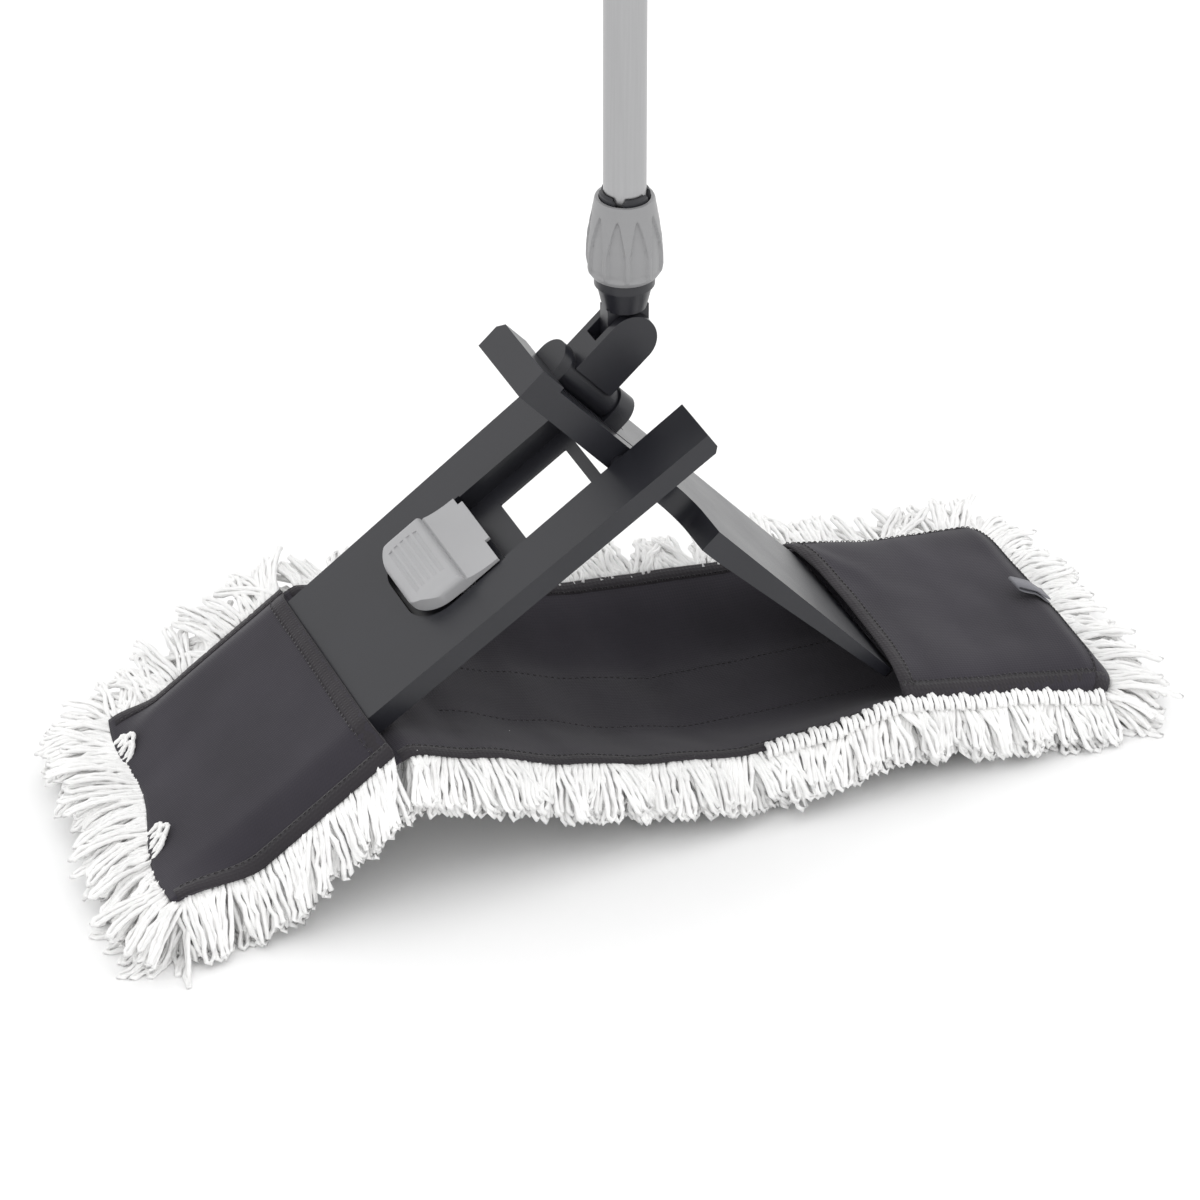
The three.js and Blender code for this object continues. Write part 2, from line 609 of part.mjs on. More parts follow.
function grip() {
  const { length, r, ribs, groove } = GRIP;
  const base = TUBE.z1 - length;
  const inner = TUBE.r + GAP;
  const pitch = (length - 14) / ribs;
  const points = [[inner, base], [r - 1.2, base], [r, base + 2]];
  for (let i = 0; i < ribs; i += 1) {
    const z = base + 8 + i * pitch;
    points.push([r, z], [r - groove, z + 1.5], [r - groove, z + 3.5], [r, z + 5]);
  }
  points.push([r, TUBE.z1 - 2], [r - 1, TUBE.z1], [inner, TUBE.z1], [inner, base]);
  return toSolid(lathe(points, 28));
}

add("handle_grip", "dark_plastic", grip(), upright);

// The cap has a shank down the tube and an eye to hang the mop by
function endCap() {
  const { shank, height, eyeZ, eyeR, holeR, half } = CAP;
  const shankR = tubeBore - GAP;
  const foot = TUBE.z1 + GAP;
  const plug = lathe([
    [0, foot - shank], [shankR, foot - shank], [shankR, foot], [GRIP.r, foot], [GRIP.r, foot + height - 3],
    [GRIP.r - 3, foot + height], [0, foot + height],
  ], 40);
  const centre = foot + eyeZ;
  const body = joinAll([
    toSolid(plug),
    box(-9, 9, -half, half, foot + height - CUT, centre),
    rodY(eyeR, 0, centre, -half, half, 40),
  ]);
  return body.subtract(rodY(holeR, 0, centre, -half - CUT, half + CUT));
}

add("handle_end_cap", "grey_plastic", endCap(), upright);

// ---------------------------------------------------------------- cover on the left half

// A flattened fabric sleeve round the left half of the frame, closed at its end
function leftPocket() {
  const { mouth, end, seam } = POCKET_LEFT;
  const { half, thick } = CLOTH;
  const top = LEFT_TOP + GAP;
  const foot = LEFT_BOTTOM - GAP;
  const brim = -4;
  const outer = polygon([
    [-62, foot - thick], [62, foot - thick], [half, brim - thick], [half, brim], [64, top + thick],
    [-64, top + thick], [-half, brim], [-half, brim - thick],
  ]);
  const inner = polygon([
    [-61, foot], [61, foot], [79, brim - 1], [62.5, top], [-62.5, top], [-79, brim - 1],
  ]);
  return crossSlab(outer, end, mouth).subtract(crossSlab(inner, end + seam, mouth + CUT));
}

function leftPile() {
  const { mouth, end, pileFoot } = POCKET_LEFT;
  const top = LEFT_BOTTOM - CLOTH.thick - 2 * GAP;
  const section = polygon([
    [-PILE_HALF, pileFoot], [PILE_HALF, pileFoot], [PILE_HALF, top + 2],
    [62, top], [-62, top], [-PILE_HALF, top + 2],
  ]);
  return crossSlab(section, end, mouth);
}

function leftFringe(side) {
  const { mouth, end, pileFoot } = POCKET_LEFT;
  const inner = (CLOTH.half + GAP) * side;
  const outer = MOP.halfY * side;
  const section = [[inner, pileFoot], [outer, pileFoot], [outer, pileFoot + 14], [inner, -2]];
  return crossSlab(polygon(side > 0 ? section : section.reverse()), end, mouth);
}

add("left_pocket", "cloth", leftPocket(), leftHalf);
add("pile_left", "yarn", leftPile(), leftHalf);
add("fringe_left_near", "yarn", leftFringe(-1), leftHalf);
add("fringe_left_far", "yarn", leftFringe(1), leftHalf);

// The fringe at the left end spreads over the floor
const leftEndSide = polygon([[-MOP.halfX, 0], [-231, 0], [-252, 30], [-266, 30], [-MOP.halfX, 12]]);
add("fringe_left_end", "yarn", sideSlab(leftEndSide, -MOP.halfY, MOP.halfY), group);

// ---------------------------------------------------------------- cover between the halves

// The stations of a line between x0 and x1, with new ones at both ends
function stationsOf(line, x0, x1) {
  const at = (x) => {
    const next = Math.max(1, line.findIndex((station) => station.x >= x));
    const [a, b] = [line[next - 1], line[next]];
    const t = (x - a.x) / (b.x - a.x);
    return { x, middle: a.middle + t * (b.middle - a.middle), edge: a.edge + t * (b.edge - a.edge) };
  };
  return [at(x0), ...line.filter((station) => station.x > x0 && station.x < x1), at(x1)];
}

const FLAT_HALF = 40; // the cloth is level this far each side of its middle line
const BEND_HALF = 62; // and has risen by BEND_RISE of the way to its edges here
const BEND_RISE = 0.42;

// Points across the cloth from one side to the other, `lift` above its top
function acrossCloth({ middle, edge }, half, lift) {
  const bend = middle + BEND_RISE * (edge - middle);
  const rim = bend + ((edge - bend) * (half - BEND_HALF)) / (CLOTH.half - BEND_HALF);
  const right = [[FLAT_HALF, middle], [BEND_HALF, bend], [half, rim]];
  const left = right.map(([y, z]) => [-y, z]).reverse();
  return [...left, ...right].map(([y, z]) => [y, z + lift]);
}

function clothPiece(x0, x1) {
  return loft(stationsOf(CLOTH_LINE, x0, x1).map((station) => ({
    x: station.x,
    loop: [
      ...acrossCloth(station, CLOTH.half, -CLOTH.thick),
      ...acrossCloth(station, CLOTH.half, 0).reverse(),
    ],
  })));
}

// Everything from `lift` over the top of the cloth upwards
function aboveCloth(x0, x1, lift) {
  const reach = 100;
  return loft(stationsOf(CLOTH_LINE, x0, x1).map((station) => ({
    x: station.x,
    loop: [
      ...acrossCloth(station, CLOTH.half, lift),
      ...acrossCloth(station, CLOTH.half, reach).reverse(),
    ],
  })));
}

// The looped pile under the cloth: as deep as PILE_DROP, or down to the floor
function pilePiece(x0, x1) {
  const blank = loft(stationsOf(CLOTH_LINE, x0, x1).map((station) => {
    const top = acrossCloth(station, PILE_HALF, CLOTH.thick).reverse();
    const foot = Math.max(0, station.middle - CLOTH.thick - PILE_DROP);
    return { x: station.x, loop: [[-PILE_HALF, foot], [PILE_HALF, foot], ...top] };
  }));
  return blank.subtract(aboveCloth(x0, x1, -CLOTH.thick - GAP));
}

function fringePiece(x0, x1, side) {
  return loft(stationsOf(CLOTH_LINE, x0, x1).map((station) => {
    const { rise, fall, drop } = FRINGE;
    const low = Math.max(0, station.edge - drop - 8);
    const inner = (CLOTH.half + GAP) * side;
    const outer = MOP.halfY * side;
    const tip = Math.max(low + 9, station.edge - fall);
    const loop = [[inner, low], [outer, low], [outer, tip], [inner, station.edge + rise]];
    return { x: station.x, loop: side > 0 ? loop : loop.reverse() };
  }));
}

const spanEnd = CLOTH.fold - GAP;
add("span_cloth", "cloth", clothPiece(CLOTH.x0, spanEnd), group);
add("pile_span", "yarn", pilePiece(CLOTH.x0, spanEnd), group);
add("fringe_span_near", "yarn", fringePiece(CLOTH.x0, spanEnd, -1), group);
add("fringe_span_far", "yarn", fringePiece(CLOTH.x0, spanEnd, 1), group);

// ---------------------------------------------------------------- cover on the floor

add("base_cloth", "cloth", clothPiece(CLOTH.fold, CLOTH.x1), group);
add("pile_right", "yarn", pilePiece(CLOTH.fold, CLOTH.x1), group);
add("fringe_right_near", "yarn", fringePiece(CLOTH.fold, CLOTH.x1, -1), group);
add("fringe_right_far", "yarn", fringePiece(CLOTH.fold, CLOTH.x1, 1), group);

const rightEndX = CLOTH.x1 + GAP;
const rightEndSide = polygon([[rightEndX, 0], [MOP.halfX, 0], [MOP.halfX, 12], [rightEndX, 26]]);
add("fringe_right_end", "yarn", sideSlab(rightEndSide, -MOP.halfY, MOP.halfY), group);

// The crowned top sheet of the right pocket, closed at its sides and at its end
function rightPocket() {
  const { mouth, sheet, seam, half } = POCKET_RIGHT;
  const end = POCKET_LINE[POCKET_LINE.length - 1].x;
  const dome = (x0, x1, halfY, drop) => loft(stationsOf(POCKET_LINE, x0, x1).map(({ x, middle, edge }) => {
    const top = [[halfY, edge - drop - 1], [BEND_HALF, edge - drop + 2], [20, middle - drop]];
    const left = top.map(([y, z]) => [-y, z]).reverse();
    return { x, loop: [[-halfY, 0], [halfY, 0], ...top, ...left] };
  }));
  const outside = dome(mouth, end, half, 0);
  const inside = dome(mouth, end - seam, half - 5, sheet);
  const shell = outside.subtract(inside.add(box(mouth - CUT, mouth + CUT, 5 - half, half - 5, 0, 51)));
  return shell.intersect(aboveCloth(CLOTH.fold, CLOTH.x1, GAP));
}

add("right_pocket", "cloth", rightPocket(), group);
const { x0, x1, y0, y1, z0, z1 } = TAG;
add("label_tag", "tag", box(x0, x1, y0, y1, z0, z1), group);

export default group;
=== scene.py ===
"""Flat mop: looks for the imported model.

Shapes are in millimetres, and new_object turns them into metres.
"""
import math
import random

import bmesh
import bpy
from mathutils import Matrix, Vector, noise


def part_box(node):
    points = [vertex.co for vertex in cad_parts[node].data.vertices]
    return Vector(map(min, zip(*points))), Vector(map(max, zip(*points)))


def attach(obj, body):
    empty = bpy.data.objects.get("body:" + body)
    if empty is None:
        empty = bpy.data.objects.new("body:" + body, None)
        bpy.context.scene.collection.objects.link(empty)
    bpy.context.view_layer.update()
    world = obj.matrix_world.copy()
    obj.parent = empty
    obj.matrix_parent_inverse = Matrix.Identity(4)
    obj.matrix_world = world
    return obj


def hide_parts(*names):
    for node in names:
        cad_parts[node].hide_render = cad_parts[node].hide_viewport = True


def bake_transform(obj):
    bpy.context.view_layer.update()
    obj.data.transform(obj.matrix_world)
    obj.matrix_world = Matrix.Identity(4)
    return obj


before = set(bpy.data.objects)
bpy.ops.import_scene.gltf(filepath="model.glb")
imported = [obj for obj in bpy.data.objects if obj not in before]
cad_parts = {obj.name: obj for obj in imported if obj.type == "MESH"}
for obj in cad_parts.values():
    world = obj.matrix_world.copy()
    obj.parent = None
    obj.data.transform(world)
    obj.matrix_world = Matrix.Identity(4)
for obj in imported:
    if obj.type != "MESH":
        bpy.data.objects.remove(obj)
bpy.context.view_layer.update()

MM = 0.001
SIDES = (("near", -1), ("far", 1))
FOLD_Z = 194.7  # height of the fold axis
LEFT_PITCH = math.radians(34.8)
CLOTH_HALF = 84
POCKET_HALF = CLOTH_HALF - 1  # the right pocket is a little narrower than the cloth below it
CLOTH_THICK = 1.4
MOUTH_LEFT = 181  # distances down the left half from the fold axis
TIP_LEFT = 272
MOUTH_RIGHT = 140  # the other places along X
RIGHT_END = 267
MIDDLE_START = -150

# Heights of the cloth along X: middle line, near edge, far edge
MIDDLE_LINE = [(-150, 76), (-136, 82), (-120, 76), (-100, 67), (-49, 48), (0, 31), (40, 21.5),
               (95, 19.5), (190, 19.5), (250, 20), (267, 20.5)]
NEAR_LINE = [(-150, 80), (-136, 86), (-100, 75), (-49, 58), (0, 46), (50, 38), (95, 40),
             (135, 47), (195, 36), (259, 22), (267, 21)]
FAR_LINE = [(-150, 83), (-138, 88), (-100, 79), (-49, 67), (20, 52), (65, 48), (109, 44),
            (154, 42), (187, 33), (252, 29), (267, 23)]
# Height of the crown of the right pocket
CROWN_LINE = [(140, 57), (165, 53), (200, 46.5), (230, 43.5), (250, 41.5), (259, 36), (267, 24)]

LEFT_TOP_N = 7.2  # heights above the plane of the left half through the fold axis
LEFT_FOOT_N = -8.6
LEFT_EDGE_N = -4.2
LEFT_END_U = 292
LEFT_END_SKEW = 24  # the near corner of the left end lies this much further out
LEFT_END_LIFT = (3, 13)  # height of its far corner, and what is added towards the near one

NEAR_CORNER = 13  # how far the rounded corners of the right end fall back
FAR_CORNER = 5
CORNER_START = 58  # where they begin, from the middle line
# A fold across the far side of the right pocket, behind its mouth
CREASE = {"x": 165, "y": 30, "height": 1.6, "width": 7}

HEM_WIDTH = 8
STITCH_STEP = 3.4
STITCH_INSET = 7  # from the edge of the cloth
STITCH_R = 0.3
TAG = {"x": 259, "reach": 20, "y": (-14, -8, -2), "thick": 0.5, "steps": 20}

YARN_R = 1.4
YARN_SIDES = 6
STRAND_STEP = 5.0
FRINGE_ROWS = 5
FRINGE_SPACING = 3.1
MIDDLE_EDGE_LENGTH = 425
PILE_HALF = 78
PILE_SPACING = (9, 8)
ROLL_SPACING = 6.6
ROLL_START_X = 60  # the twisted roots show from here to the right end
ROLL_LEANS = (-1.6, 1.4)
# Place across the left end, reach and rise of each flipped loop
CURLS = [(0.30, 10, 4), (0.325, 12, 5), (0.35, 9, 5), (0.80, 9, 4), (0.825, 11, 5), (0.85, 8, 4)]
CURL_STEPS = 16
CURL_HALF_WIDTH = 6
CURL_SCALE = 118  # about the length of the left pocket

FLUTES = 10
FLUTE_DEPTH = 1.4
COLLAR_BORE = 13.3
COLLAR_WALL = 14  # the flutes are cut outside this radius only
TUBE_R = 11
TUBE_BORE = 9.8
FLOOR_HALF = 9000


# ------------------------------------------------------------------ materials

def new_material(name, color, rough, metallic=0.0):
    mat = bpy.data.materials.new(name)
    mat.use_nodes = True
    shader = mat.node_tree.nodes["Principled BSDF"]
    shader.inputs["Base Color"].default_value = (*color, 1)
    shader.inputs["Roughness"].default_value = rough
    shader.inputs["Metallic"].default_value = metallic
    return mat, mat.node_tree.nodes, mat.node_tree.links, shader


def texture(nodes, links, kind, scale, stretch=(1, 1, 1)):
    coords = nodes.new("ShaderNodeTexCoord")
    mapping = nodes.new("ShaderNodeMapping")
    mapping.inputs["Scale"].default_value = stretch
    node = nodes.new(kind)
    node.inputs["Scale"].default_value = scale
    links.new(coords.outputs["Object"], mapping.inputs["Vector"])
    links.new(mapping.outputs["Vector"], node.inputs["Vector"])
    return node


def vary_color(nodes, links, shader, source, dark, light):
    ramp = nodes.new("ShaderNodeValToRGB")
    ramp.color_ramp.elements[0].position = 0.3
    ramp.color_ramp.elements[1].position = 0.7
    ramp.color_ramp.elements[0].color = (*dark, 1)
    ramp.color_ramp.elements[1].color = (*light, 1)
    links.new(source, ramp.inputs["Fac"])
    links.new(ramp.outputs["Color"], shader.inputs["Base Color"])


def bump(nodes, links, shader, source, strength, distance):
    node = nodes.new("ShaderNodeBump")
    node.inputs["Strength"].default_value = strength
    node.inputs["Distance"].default_value = distance
    links.new(source, node.inputs["Height"])
    links.new(node.outputs["Normal"], shader.inputs["Normal"])


def vary_rough(nodes, links, shader, source, low, high):
    spread = nodes.new("ShaderNodeMapRange")
    spread.inputs["To Min"].default_value = low
    spread.inputs["To Max"].default_value = high
    links.new(source, spread.inputs["Value"])
    links.new(spread.outputs["Result"], shader.inputs["Roughness"])


def plastic(name, color, rough, spread=0.12):
    mat, nodes, links, shader = new_material(name, color, rough)
    cloud = texture(nodes, links, "ShaderNodeTexNoise", 22)
    cloud.inputs["Detail"].default_value = 5
    dark = tuple(c * (1 - spread) for c in color)
    light = tuple(c * (1 + spread) for c in color)
    vary_color(nodes, links, shader, cloud.outputs["Fac"], dark, light)
    vary_rough(nodes, links, shader, cloud.outputs["Fac"], rough - 0.06, rough + 0.08)
    grain = texture(nodes, links, "ShaderNodeTexNoise", 1800)
    bump(nodes, links, shader, grain.outputs["Fac"], 0.22, 0.0002)
    return mat


def metal(name, color, rough, stretch):
    mat, nodes, links, shader = new_material(name, color, rough, 1.0)
    brush = texture(nodes, links, "ShaderNodeTexNoise", 900, stretch)
    brush.inputs["Detail"].default_value = 3
    vary_color(nodes, links, shader, brush.outputs["Fac"], tuple(c * 0.93 for c in color), color)
    vary_rough(nodes, links, shader, brush.outputs["Fac"], rough - 0.05, rough + 0.1)
    bump(nodes, links, shader, brush.outputs["Fac"], 0.08, 0.0001)
    return mat


def woven(name, color, pitch=0.0011, strength=0.5):
    mat, nodes, links, shader = new_material(name, color, 0.9)
    shader.inputs["Sheen Weight"].default_value = 0.1
    shader.inputs["Sheen Roughness"].default_value = 0.6
    shader.inputs["Specular IOR Level"].default_value = 0.25
    threads = []
    for axis in "XY":
        wave = texture(nodes, links, "ShaderNodeTexWave", 1 / (pitch * 6.3))
        wave.bands_direction = axis
        wave.inputs["Distortion"].default_value = 0.6
        threads.append(wave)
    weave = nodes.new("ShaderNodeMath")
    weave.operation = "MULTIPLY"
    links.new(threads[0].outputs["Fac"], weave.inputs[0])
    links.new(threads[1].outputs["Fac"], weave.inputs[1])
    cloud = texture(nodes, links, "ShaderNodeTexNoise", 16)
    cloud.inputs["Detail"].default_value = 6
    dark = tuple(c * 0.82 for c in color)
    light = tuple(c * 1.2 for c in color)
    vary_color(nodes, links, shader, cloud.outputs["Fac"], dark, light)
    bump(nodes, links, shader, weave.outputs[0], strength, 0.0004)
    return mat


def cotton(name, color):
    mat, nodes, links, shader = new_material(name, color, 0.95)
    shader.inputs["Sheen Weight"].default_value = 0.3
    shader.inputs["Specular IOR Level"].default_value = 0.2
    cloud = texture(nodes, links, "ShaderNodeTexNoise", 45)
    light = tuple(min(1, c * 1.04) for c in color)
    dark = tuple(c * 0.93 for c in color)
    vary_color(nodes, links, shader, cloud.outputs["Fac"], dark, light)
    fibre = texture(nodes, links, "ShaderNodeTexNoise", 1500)
    fibre.inputs["Detail"].default_value = 4
    bump(nodes, links, shader, fibre.outputs["Fac"], 0.45, 0.0005)
    return mat


DARK = plastic("dark_plastic", (0.0135, 0.0138, 0.018), 0.33)
GREY = plastic("grey_plastic", (0.272, 0.272, 0.277), 0.42, 0.04)
PALE = plastic("pale_plastic", (0.375, 0.375, 0.383), 0.42, 0.04)
TUBE_METAL = metal("anodised_tube", (0.415, 0.415, 0.42), 0.34, (1, 1, 0.02))
STEEL = metal("steel", (0.6, 0.6, 0.62), 0.3, (1, 0.05, 1))
CLOTH = woven("cover_cloth", (0.029, 0.026, 0.034), 0.0008, 0.3)
HEM = woven("hem_cloth", (0.027, 0.024, 0.028), 0.0011, 0.5)
TAPE = woven("tag_tape", (0.19, 0.19, 0.21), 0.0009)
THREAD = cotton("dark_thread", (0.03, 0.027, 0.03))
YARN = cotton("cotton_yarn", (0.96, 0.957, 0.95))


# ------------------------------------------------------------------ mesh helpers

def new_object(name, verts, faces, mat, smooth=True):
    mesh = bpy.data.meshes.new(name)
    mesh.from_pydata([tuple(c * MM for c in v) for v in verts], [], faces)
    mesh.validate()
    if smooth:
        mesh.shade_smooth()
    mesh.materials.append(mat)
    obj = bpy.data.objects.new(name, mesh)
    bpy.context.scene.collection.objects.link(obj)
    return obj


def add_modifier(obj, kind, **values):
    modifier = obj.modifiers.new(kind.lower(), kind)
    for key, value in values.items():
        setattr(modifier, key, value)


def along(line, x):
    """Smooth height at x on a list of (x, z) points."""
    if x <= line[0][0]:
        return line[0][1]
    for (xa, za), (xb, zb) in zip(line, line[1:]):
        if x <= xb:
            t = (x - xa) / (xb - xa)
            t = t * 0.5 + 0.5 * t * t * (3 - 2 * t)
            return za + t * (zb - za)
    return line[-1][1]


def smoothstep(low, high, value):
    t = min(1, max(0, (value - low) / (high - low)))
    return t * t * (3 - 2 * t)


def refine(node, body, slot_name, mat, width=0.7, segments=3):
    """A copy of a hard CAD node with moulded edges."""
    source = bpy.data.objects[node]
    mesh = source.data.copy()
    mesh.name = node + "_moulded"
    work = bmesh.new()
    work.from_mesh(mesh)
    bmesh.ops.remove_doubles(work, verts=work.verts, dist=2e-5)
    bmesh.ops.dissolve_limit(work, angle_limit=math.radians(0.6), verts=work.verts, edges=work.edges)
    work.to_mesh(mesh)
    work.free()
    mesh.shade_smooth()
    mesh.materials.clear()
    mesh.materials.append(mat)
    obj = bpy.data.objects.new(node + "_moulded", mesh)
    bpy.context.scene.collection.objects.link(obj)
    add_modifier(obj, "BEVEL", width=width * MM, segments=segments, limit_method="ANGLE",
                 angle_limit=math.radians(32), harden_normals=True)
    add_modifier(obj, "WEIGHTED_NORMAL", keep_sharp=True)
    finish_piece(obj, body, slot_name, node)


def finish_piece(obj, body, slot_name, *nodes):
    """Puts a piece on its body, in place of any CAD nodes named."""
    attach(obj, body)
    if nodes:
        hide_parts(*nodes)


def tube_mesh(paths, radius, sides, twist=0.0):
    """Vertices and faces of round strands along lists of points."""
    verts, faces = [], []
    for path in paths:
        base = len(verts)
        for i, point in enumerate(path):
            ahead = path[min(i + 1, len(path) - 1)]
            behind = path[max(i - 1, 0)]
            tangent = (ahead - behind).normalized()
            side = tangent.cross(Vector((0.31, 0.17, 0.94))).normalized()
            up = tangent.cross(side)
            swell = radius * (1 + 0.14 * math.sin(i * 2.1 + base))
            for k in range(sides):
                angle = 2 * math.pi * k / sides + i * twist
                verts.append(point + (side * math.cos(angle) + up * math.sin(angle)) * swell)
        for i in range(len(path) - 1):
            for k in range(sides):
                a = base + i * sides + k
                b = base + i * sides + (k + 1) % sides
                faces.append((a, b, b + sides, a + sides))
        last = base + (len(path) - 1) * sides
        faces.append(tuple(base + k for k in reversed(range(sides))))
        faces.append(tuple(last + k for k in range(sides)))
    return verts, faces


# ------------------------------------------------------------------ hard parts

refine("left_frame_half", "left_half", "dark_plastic", DARK)
refine("right_frame_half", "right_half", "dark_plastic", DARK)
refine("swivel_link", "link", "dark_plastic", DARK, 0.9)
refine("handle_socket", "socket", "dark_plastic", DARK, 0.4, 2)
refine("foot_pedal", "pedal", "pale_plastic", PALE, 2.4, 6)
refine("handle_end_cap", "handle", "grey_plastic", GREY, 0.8)
refine("handle_grip", "handle", "dark_plastic", DARK, 0.3, 2)
for node, body in (("fold_pin_near", "left_half"), ("fold_pin_far", "left_half"),
                   ("pedal_pin", "left_half"), ("link_pin", "right_half"), ("knuckle_pin", "link")):
    refine(node, body, "steel", STEEL, 0.3, 2)
for node in ("fold_washer_near", "fold_washer_far"):
    refine(node, "left_half", "dark_plastic", DARK, 0.2, 2)


def turned(profile, count, shape=None):
    """A closed turned body: profile of (radius, z), `shape` changes a radius at an angle."""
    verts, faces = [], []
    for r, z in profile:
        for k in range(count):
            angle = 2 * math.pi * k / count
            radius = shape(r, z, angle) if shape else r
            verts.append((radius * math.cos(angle), radius * math.sin(angle), z))
    rings = len(profile)
    for i in range(rings):
        for k in range(count):
            a, b = i * count + k, i * count + (k + 1) % count
            c, d = ((i + 1) % rings) * count + k, ((i + 1) % rings) * count + (k + 1) % count
            faces.append((a, b, d, c))
    return verts, faces


pin_low, pin_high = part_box("knuckle_pin")
handle_x = (pin_low[0] + pin_high[0]) / 2 / MM
collar_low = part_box("collar_nut")[0][2] / MM
collar_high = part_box("collar_nut")[1][2] / MM


def collar_radius(r, z, angle):
    """Broad flutes with pointed tops, cut into the turned collar."""
    if r < COLLAR_WALL:
        return r
    height = (z - collar_low) / (collar_high - collar_low)
    phase = abs(((angle * FLUTES / (2 * math.pi)) % 1) - 0.5) * 2
    reach = 0.86 - 0.62 * phase ** 1.6
    inside = smoothstep(0.0, 0.06, reach - height) * smoothstep(0.06, 0.12, height)
    rib = smoothstep(0.12, 0.3, 1 - phase)
    return r - FLUTE_DEPTH * inside * rib


def collar_profile():
    """The collar's outline: its radius at each share of its height, and its bore."""
    keys = [(0, 16.2), (0.022, 17.6), (0.1, 19.6), (0.18, 20.1), (0.31, 20), (0.5, 19.2),
            (0.67, 17.9), (0.83, 16.6), (0.93, 15.8), (0.975, 15.5), (1, 15)]
    steps = 64
    outer = []
    for i in range(steps + 1):
        t = i / steps
        outer.append((along(keys, t), collar_low + t * (collar_high - collar_low)))
    return outer + [(COLLAR_BORE, collar_high), (COLLAR_BORE, collar_low)]


def on_handle(name, profile, count, mat, shape=None):
    """A turned piece on the axis of the handle."""
    verts, faces = turned(profile, count, shape)
    obj = new_object(name, [(x + handle_x, y, z) for x, y, z in verts], faces, mat)
    add_modifier(obj, "EDGE_SPLIT", split_angle=math.radians(50))
    return obj


collar = on_handle("collar_nut_fluted", collar_profile(), 240, GREY, collar_radius)
finish_piece(collar, "collar", "grey_plastic", "collar_nut")

tube_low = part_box("handle_tube")[0][2] / MM
tube_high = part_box("handle_tube")[1][2] / MM
tube_profile = [(TUBE_BORE, tube_low), (TUBE_R, tube_low), (TUBE_R, tube_high), (TUBE_BORE, tube_high)]
tube = on_handle("handle_tube_turned", tube_profile, 96, TUBE_METAL)
finish_piece(tube, "handle", "aluminium", "handle_tube")


# ------------------------------------------------------------------ cover cloth

def left_point(u, y, n):
    """A place on the left half: u down it from the fold axis, n above it."""
    return Vector((-u * math.cos(LEFT_PITCH) - n * math.sin(LEFT_PITCH), y,
                   FOLD_Z - u * math.sin(LEFT_PITCH) + n * math.cos(LEFT_PITCH)))


def wrinkle(x, y, size=1.0):
    broad = noise.noise(Vector((x * 0.022, y * 0.03, 3.1)))
    fine = noise.noise(Vector((x * 0.07, y * 0.05, 8.7)))
    return size * (1.2 * broad + 0.45 * fine)


def base_height(x, y):
    """Top of the cloth on the floor and between the pockets."""
    middle = along(MIDDLE_LINE, x)
    edge = along(NEAR_LINE if y < 0 else FAR_LINE, x)
    rise = smoothstep(28, 92, abs(y)) / smoothstep(28, 92, CLOTH_HALF)
    return middle + (edge - middle) * rise + wrinkle(x, y) * (1 - (abs(y) / CLOTH_HALF) ** 4)


def crown_height(x, y):
    """Top of the right pocket."""
    edge = along(NEAR_LINE if y < 0 else FAR_LINE, x) + 1.6
    crown = along(CROWN_LINE, x)
    arch = 1 - (abs(y) / CLOTH_HALF) ** 7
    away = ((x - CREASE["x"]) + 0.5 * (y - CREASE["y"])) / CREASE["width"]
    crease = CREASE["height"] * math.exp(-away ** 2) * smoothstep(0, 60, y)
    return edge + (crown - edge) * arch + (wrinkle(x + 50, y, 0.8) + crease) * arch


def left_end(y):
    """Where the left end of the cloth lies: u and n."""
    t = (CLOTH_HALF - y) / (2 * CLOTH_HALF)
    ripple = 3.5 * math.sin(t * 9.5 + 0.6)
    low, rise = LEFT_END_LIFT
    return LEFT_END_U + LEFT_END_SKEW * t + ripple, low + rise * t * t


def left_height(u, y, top):
    """n of the top or the underside of the left pocket."""
    flank = smoothstep(58, CLOTH_HALF, abs(y))
    flat = LEFT_TOP_N if top else LEFT_FOOT_N
    n = flat + (LEFT_EDGE_N - flat) * flank
    end_u, end_n = left_end(y)
    close = smoothstep(TIP_LEFT - 6, end_u, u)
    lift = wrinkle(u * 1.1, y + 20, 0.5) * (1 - flank) if top else 0
    return n + (end_n + (0.9 if top else -0.9) - n) * close + lift


def left_surface(top):
    """A function that gives a place on the pocket at a share s of its length, and y."""
    def place_at(s, y):
        end_u, _ = left_end(y)
        u = MOUTH_LEFT + s * (end_u - MOUTH_LEFT)
        return left_point(u, y, left_height(u, y, top))
    return place_at


def sheet_from(name, place_at, s_count, y_count, mat, half=CLOTH_HALF):
    """A cloth over a grid of places, with its thickness added."""
    verts, faces = [], []
    for i in range(s_count + 1):
        for j in range(y_count + 1):
            y = -half + 2 * half * j / y_count
            verts.append(place_at(i / s_count, y))
    for i in range(s_count):
        for j in range(y_count):
            a = i * (y_count + 1) + j
            faces.append((a, a + 1, a + y_count + 2, a + y_count + 1))
    obj = new_object(name, verts, faces, mat)
    add_modifier(obj, "SOLIDIFY", thickness=CLOTH_THICK * MM, offset=0)
    return obj


def right_end(y):
    """Where the right end of the cloth lies: straight, with rounded corners."""
    fall = NEAR_CORNER if y < 0 else FAR_CORNER
    corner = min(1, max(0, (abs(y) - CORNER_START) / (CLOTH_HALF - CORNER_START)))
    return RIGHT_END - fall * (1 - math.sqrt(1 - 0.97 * corner ** 2))


def middle_at(s, y):
    x = MIDDLE_START + s * (right_end(y) - MIDDLE_START)
    return Vector((x, y, base_height(x, y)))


def right_mouth(y):
    return MOUTH_RIGHT + 6 * (1 - (abs(y) / CLOTH_HALF) ** 2)


